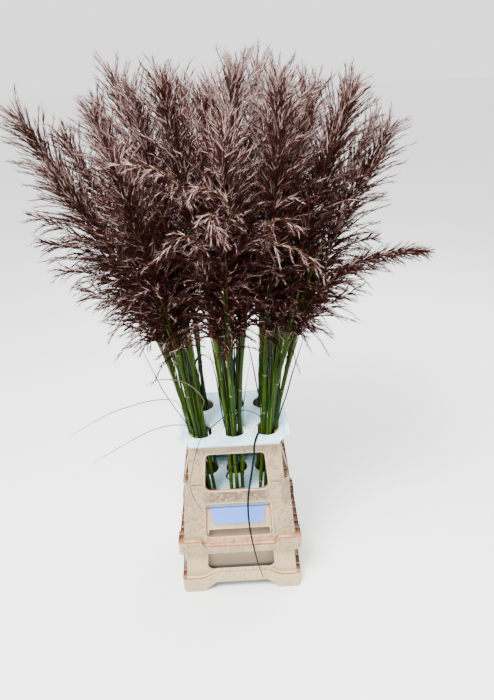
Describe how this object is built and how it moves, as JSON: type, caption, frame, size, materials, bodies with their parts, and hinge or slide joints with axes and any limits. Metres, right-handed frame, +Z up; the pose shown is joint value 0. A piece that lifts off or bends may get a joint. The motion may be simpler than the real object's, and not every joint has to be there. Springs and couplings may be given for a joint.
{
  "type": "cut pampas grass in a flower transport holder",
  "caption": "Bunches of cut brown-purple pampas grass plumes on green culms, standing in a stacked beige plastic transport holder with perforated metal plates and a water bucket.",
  "frame": {"origin": "middle of the water bucket's flat underside, on the floor", "axes": "+Z up along the plumes, -Y towards the front with the label card, +X to the right seen from the front"},
  "size_m": [0.983, 0.6756, 1.6206],
  "materials": {
    "frame_plastic": "matte",
    "bucket_plastic": "satin",
    "sheet_metal": "satin",
    "card_paper": "matte",
    "plume": "matte",
    "green_blade": "satin"
  },
  "bodies": {
    "root": {"base_frame": "frame_plastic", "upper_frame": "frame_plastic", "water_bucket": "bucket_plastic", "lower_plate": "sheet_metal", "upper_plate": "sheet_metal", "label_card": "card_paper", "stalk_front_left_1": "plume", "stalk_front_left_2": "plume", "stalk_front_left_3": "plume", "stalk_front_left_4": "plume", "stalk_front_left_5": "plume", "stalk_front_middle_1": "plume", "stalk_front_middle_2": "plume", "stalk_front_middle_3": "plume", "stalk_front_middle_4": "plume", "stalk_front_middle_5": "plume", "stalk_front_right_1": "plume", "stalk_front_right_2": "plume", "stalk_front_right_3": "plume", "stalk_front_right_4": "plume", "stalk_front_right_5": "plume", "stalk_back_left_1": "plume", "stalk_back_left_2": "plume", "stalk_back_left_3": "plume", "stalk_back_left_4": "plume", "stalk_back_left_5": "plume", "stalk_back_middle_1": "plume", "stalk_back_middle_2": "plume", "stalk_back_middle_3": "plume", "stalk_back_middle_4": "plume", "stalk_back_middle_5": "plume", "stalk_back_right_1": "plume", "stalk_back_right_2": "plume", "stalk_back_right_3": "plume", "stalk_back_right_4": "plume", "stalk_back_right_5": "plume", "leaf_long_front": "green_blade", "leaf_arc_front": "green_blade", "leaf_left_tall": "green_blade", "leaf_cross_left": "green_blade", "leaf_middle_left": "green_blade", "leaf_middle_right": "green_blade", "leaf_back_right": "green_blade", "leaf_right_tall": "green_blade", "leaf_arc_left": "green_blade", "leaf_window": "green_blade", "leaf_droop_high": "green_blade", "leaf_droop_low": "green_blade"}
  },
  "joints": []
}
